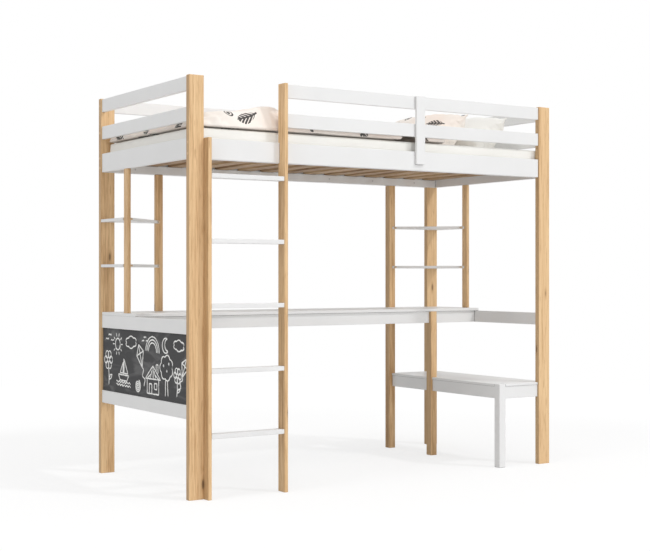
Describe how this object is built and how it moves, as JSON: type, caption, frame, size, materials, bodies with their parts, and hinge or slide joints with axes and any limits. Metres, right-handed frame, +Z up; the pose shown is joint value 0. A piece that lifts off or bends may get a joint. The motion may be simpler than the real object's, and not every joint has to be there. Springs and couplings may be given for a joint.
{
  "type": "loft bed",
  "caption": "Single loft bed on tall oak-toned posts with white rails, a side ladder, a full-length desk, corner shelves, a chalkboard end panel and a bench below.",
  "frame": {"origin": "on the floor, under the middle of the bed's and the ladder's outline", "axes": "+X from the chalkboard end to the bench end, +Y from the ladder side to the wall side, +Z up"},
  "size_m": [2.08, 1.005, 1.834],
  "materials": {
    "oak": "light oak grain, matt lacquer",
    "white_board": "white satin paint",
    "slat_wood": "plain brown wood",
    "chalkboard": "matt dark grey chalkboard paint",
    "mattress_fabric": "white woven cover",
    "printed_fabric": "cream cotton with small dark motifs",
    "plain_fabric": "plain pale grey cotton",
    "steel": "zinc plated",
    "cap_plastic": "wood-toned cover caps",
    "dowel_wood": "bare beech"
  },
  "bodies": {
    "frame": {"barrel_nuts": "steel", "bed_slats": "slat_wood", "bench_apron_front": "white_board", "bench_apron_left_front": "white_board", "bench_apron_left_rear": "white_board", "bench_leg": "white_board", "bench_top": "white_board", "bolt_cover_caps": "cap_plastic", "chalkboard_panel": "chalkboard", "corner_shelf_left_lower": "white_board", "corner_shelf_left_upper": "white_board", "corner_shelf_right_lower": "white_board", "corner_shelf_right_upper": "white_board", "desk_apron_front_left": "white_board", "desk_apron_front_right": "white_board", "desk_apron_rear_left": "white_board", "desk_apron_rear_right": "white_board", "desk_front_leg": "oak", "desktop": "white_board", "end_bed_rail_left": "white_board", "end_bed_rail_right": "white_board", "end_desk_rail_left": "white_board", "end_desk_rail_right": "white_board", "end_guard_rail_lower_left": "white_board", "end_guard_rail_lower_right": "white_board", "end_guard_rail_upper_left": "white_board", "end_guard_rail_upper_right": "white_board", "end_lower_rail_left": "white_board", "end_lower_rail_right": "white_board", "frame_bolts": "steel", "guard_rail_lower_front": "white_board", "guard_rail_lower_rear": "white_board", "guard_rail_upper_front": "white_board", "guard_rail_upper_rear": "white_board", "guard_stile": "white_board", "ladder_rung_1": "white_board", "ladder_rung_2": "white_board", "ladder_rung_3": "white_board", "ladder_rung_4": "white_board", "ladder_rung_5": "white_board", "ladder_upright_left": "oak", "ladder_upright_right": "oak", "post_front_left": "oak", "post_front_right": "oak", "post_rear_left": "oak", "post_rear_right": "oak", "rear_leg": "oak", "shelf_upright_left_end": "oak", "shelf_upright_left_rear": "oak", "shelf_upright_right_end": "oak", "side_rail_front": "white_board", "side_rail_rear": "white_board", "slat_ledger_front": "white_board", "slat_ledger_rear": "white_board", "wood_dowels": "dowel_wood", "wood_screws": "steel"},
    "bedding": {"mattress": "mattress_fabric", "quilt": "printed_fabric", "pillow_printed": "printed_fabric", "pillow_plain": "plain_fabric"}
  },
  "joints": [
    {"name": "mattress_lift", "type": "slide", "parent": "frame", "child": "bedding", "axis": [0, 0, 1], "range_m": [0, 0.31]}
  ]
}
